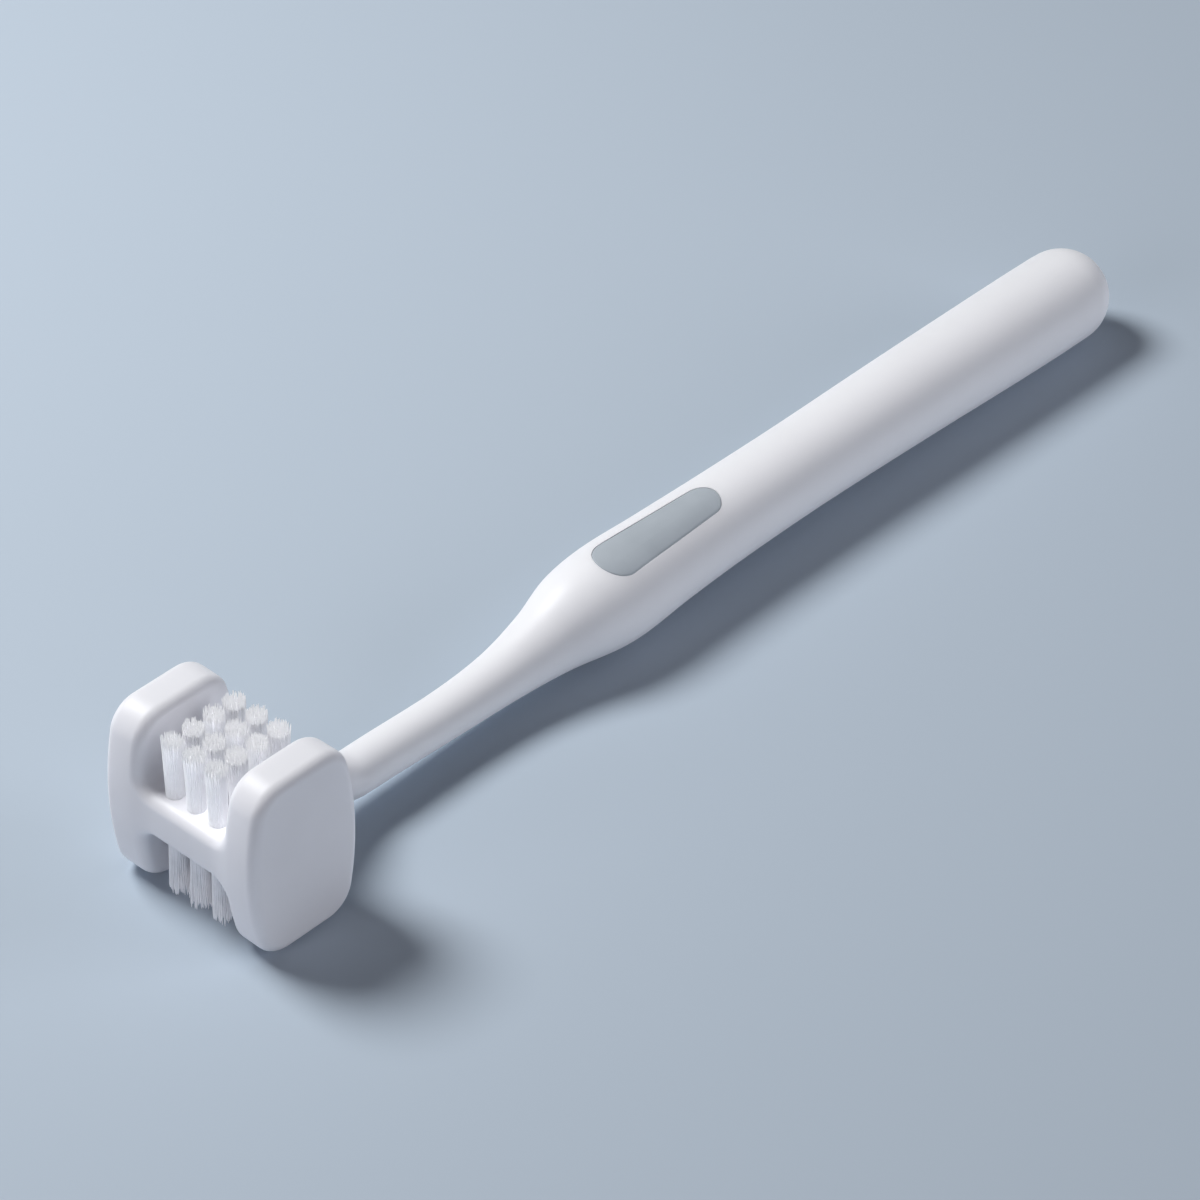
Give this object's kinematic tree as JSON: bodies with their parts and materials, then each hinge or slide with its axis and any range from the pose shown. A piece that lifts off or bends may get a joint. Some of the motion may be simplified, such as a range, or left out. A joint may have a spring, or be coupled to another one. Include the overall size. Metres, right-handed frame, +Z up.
{
  "type": "toothbrush",
  "caption": "Manual toothbrush with a two-sided bristle head between cheek plates, a slim bent neck and a round handle with a soft grip pad.",
  "frame": {"origin": "under the middle of the whole brush, on the surface that it lies on", "axes": "+X along the brush from the head to the tail, +Y across it, +Z up from the surface that it lies on"},
  "size_m": [0.165, 0.0248, 0.0245],
  "materials": {
    "handle_plastic": "smooth satin white",
    "grip_rubber": "matte light grey",
    "bristle_nylon": "translucent white filament",
    "anchor_metal": "bright flat wire"
  },
  "bodies": {
    "root": {"handle": "handle_plastic", "grip_pad": "grip_rubber", "anchors_top": "anchor_metal", "anchors_bottom": "anchor_metal", "tuft_top_1_1": "bristle_nylon", "tuft_top_1_2": "bristle_nylon", "tuft_top_1_3": "bristle_nylon", "tuft_top_2_1": "bristle_nylon", "tuft_top_2_2": "bristle_nylon", "tuft_top_2_3": "bristle_nylon", "tuft_top_3_1": "bristle_nylon", "tuft_top_3_2": "bristle_nylon", "tuft_top_3_3": "bristle_nylon", "tuft_top_4_1": "bristle_nylon", "tuft_top_4_2": "bristle_nylon", "tuft_top_4_3": "bristle_nylon", "tuft_bottom_1_1": "bristle_nylon", "tuft_bottom_1_2": "bristle_nylon", "tuft_bottom_1_3": "bristle_nylon", "tuft_bottom_2_1": "bristle_nylon", "tuft_bottom_2_2": "bristle_nylon", "tuft_bottom_2_3": "bristle_nylon", "tuft_bottom_3_1": "bristle_nylon", "tuft_bottom_3_2": "bristle_nylon", "tuft_bottom_3_3": "bristle_nylon", "tuft_bottom_4_1": "bristle_nylon", "tuft_bottom_4_2": "bristle_nylon", "tuft_bottom_4_3": "bristle_nylon"}
  },
  "joints": []
}
